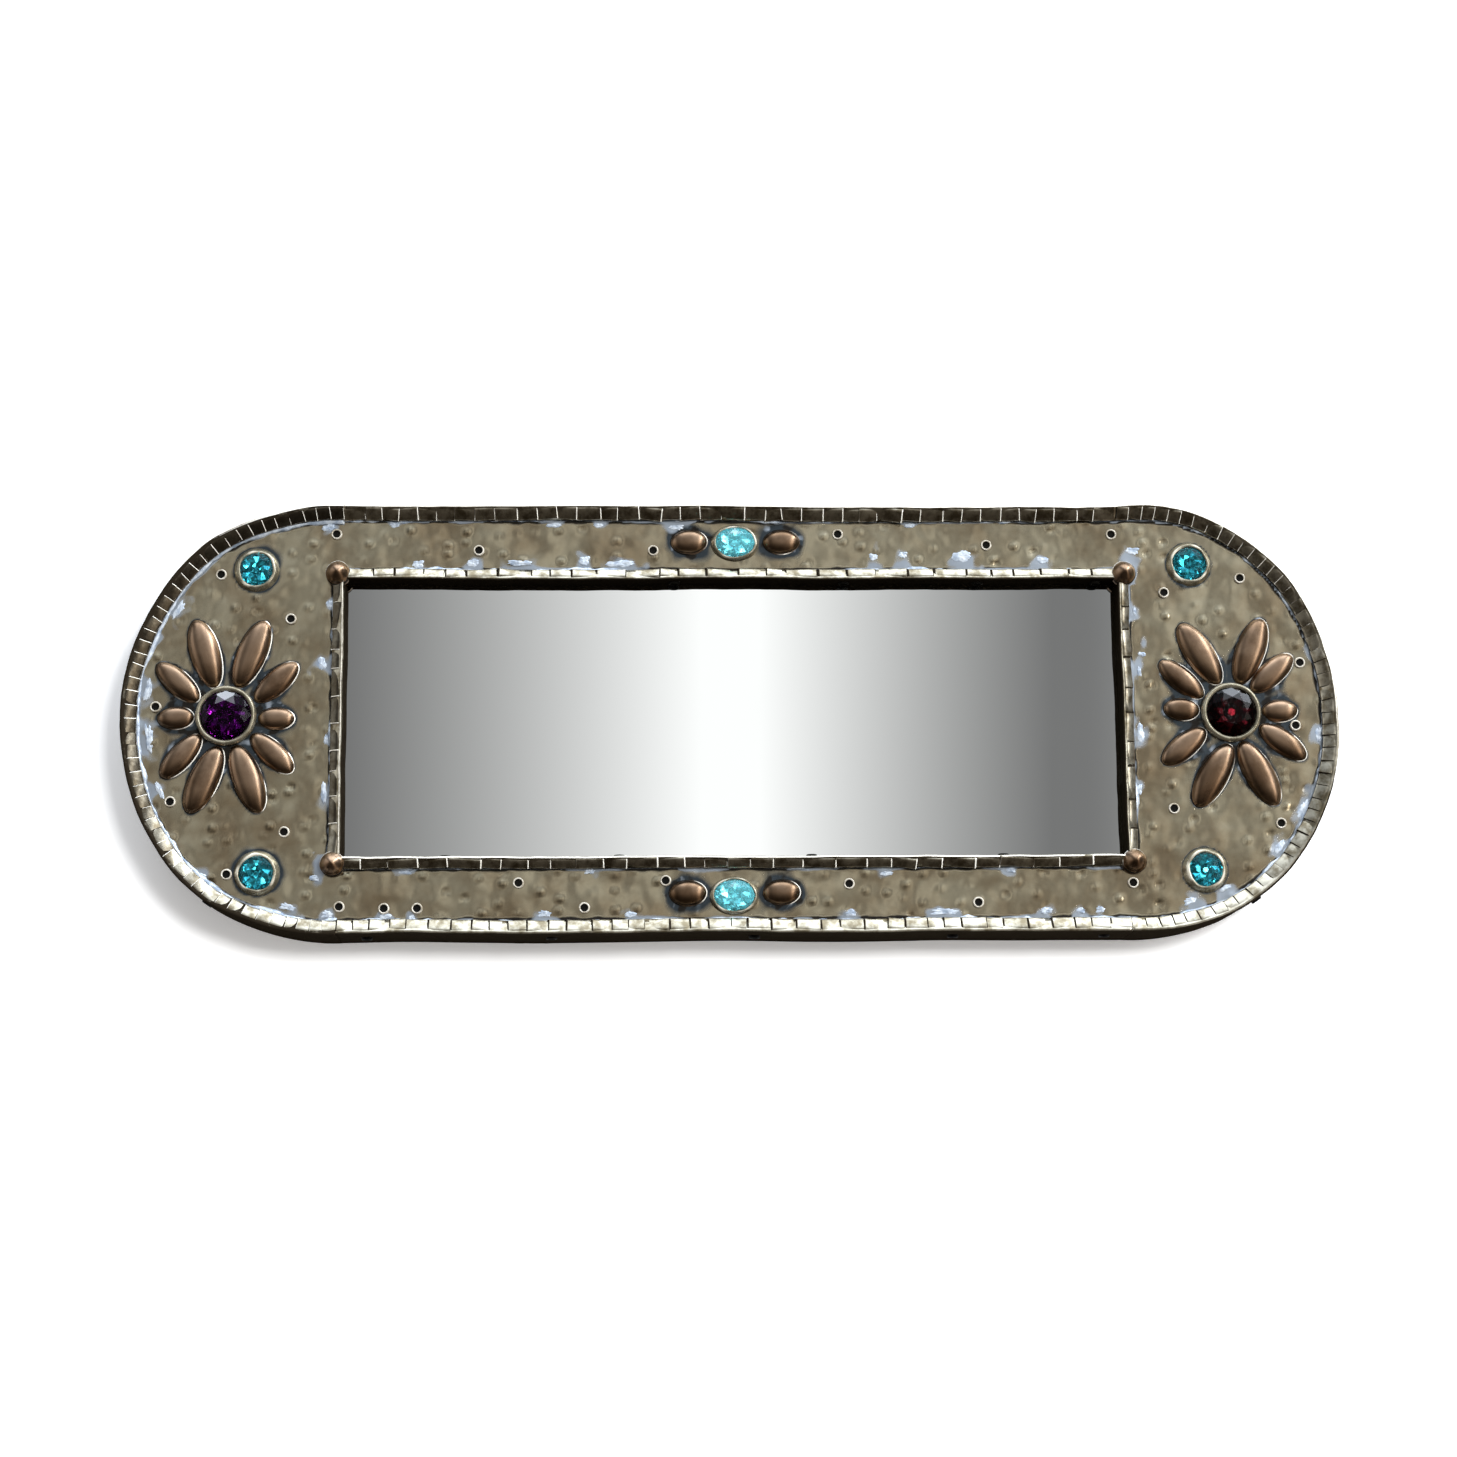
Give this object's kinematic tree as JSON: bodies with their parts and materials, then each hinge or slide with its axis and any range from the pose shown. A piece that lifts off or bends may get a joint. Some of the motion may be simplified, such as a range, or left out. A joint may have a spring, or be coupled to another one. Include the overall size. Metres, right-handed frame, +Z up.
{
  "type": "wall mirror",
  "caption": "Round-ended wall mirror in a hammered brass frame with copper petal flowers, faceted glass gems and folded, snipped edges, hung by rings on its back.",
  "frame": {"origin": "middle of the wall plane behind the mirror, level with the frame's middle", "axes": "+X to the viewer's right along the frame, +Z up, +Y into the wall, so the mirror faces -Y"},
  "size_m": [0.6378, 0.0425, 0.2278],
  "materials": {
    "hammered_brass": "hammered, darkened by age",
    "folded_brass": "folded and snipped sheet, worn bright along the crests",
    "copper": "satin copper, brown with age",
    "bezel_brass": "hand-pushed, worn bright",
    "nail_brass": "worn bright on the ring",
    "solder": "blue-grey, dull",
    "purple_glass": "faceted, foil-backed",
    "garnet_glass": "faceted, foil-backed",
    "aqua_glass": "faceted, foil-backed",
    "pine": "planed, unfinished",
    "hardboard": "pressed board, plain",
    "mirror_glass": "silvered glass",
    "zinc_steel": "zinc plated"
  },
  "bodies": {
    "frame": {"back_board": "hardboard", "back_screws": "zinc_steel", "core_end_left": "pine", "core_end_right": "pine", "core_rail_bottom": "pine", "core_rail_top": "pine", "corner_collars": "bezel_brass", "corner_gem_bottom_left": "aqua_glass", "corner_gem_bottom_right": "aqua_glass", "corner_gem_top_left": "aqua_glass", "corner_gem_top_right": "aqua_glass", "corner_knob_bottom_left": "copper", "corner_knob_bottom_right": "copper", "corner_knob_top_left": "copper", "corner_knob_top_right": "copper", "edge_strip_bottom": "folded_brass", "edge_strip_left": "folded_brass", "edge_strip_right": "folded_brass", "edge_strip_top": "folded_brass", "face_nails": "nail_brass", "face_plate": "hammered_brass", "flower_bezel_left": "bezel_brass", "flower_bezel_right": "bezel_brass", "flower_gem_left": "purple_glass", "flower_gem_right": "garnet_glass", "hanger_straps": "zinc_steel", "mirror_glass": "mirror_glass", "oval_collars": "bezel_brass", "oval_domes": "copper", "oval_gem_bottom": "aqua_glass", "oval_gem_top": "aqua_glass", "packing_board": "hardboard", "petal_left_bottom_left": "copper", "petal_left_bottom_right": "copper", "petal_left_lower_left": "copper", "petal_left_lower_right": "copper", "petal_left_side_left": "copper", "petal_left_side_right": "copper", "petal_left_top_left": "copper", "petal_left_top_right": "copper", "petal_left_upper_left": "copper", "petal_left_upper_right": "copper", "petal_right_bottom_left": "copper", "petal_right_bottom_right": "copper", "petal_right_lower_left": "copper", "petal_right_lower_right": "copper", "petal_right_side_left": "copper", "petal_right_side_right": "copper", "petal_right_top_left": "copper", "petal_right_top_right": "copper", "petal_right_upper_left": "copper", "petal_right_upper_right": "copper", "solder_seams": "solder", "strip_nails": "nail_brass", "window_strip_bottom": "folded_brass", "window_strip_left": "folded_brass", "window_strip_right": "folded_brass", "window_strip_top": "folded_brass"},
    "left_ring": {"hanger_ring_left": "zinc_steel"},
    "right_ring": {"hanger_ring_right": "zinc_steel"}
  },
  "joints": [
    {"name": "left_ring_swing", "type": "hinge", "parent": "frame", "child": "left_ring", "pos_m": [-0.24, -0.0036, 0.036], "axis": [1, 0, 0], "range_deg": [0, 180]},
    {"name": "right_ring_swing", "type": "hinge", "parent": "frame", "child": "right_ring", "pos_m": [0.24, -0.0036, 0.036], "axis": [1, 0, 0], "range_deg": [0, 180]}
  ]
}
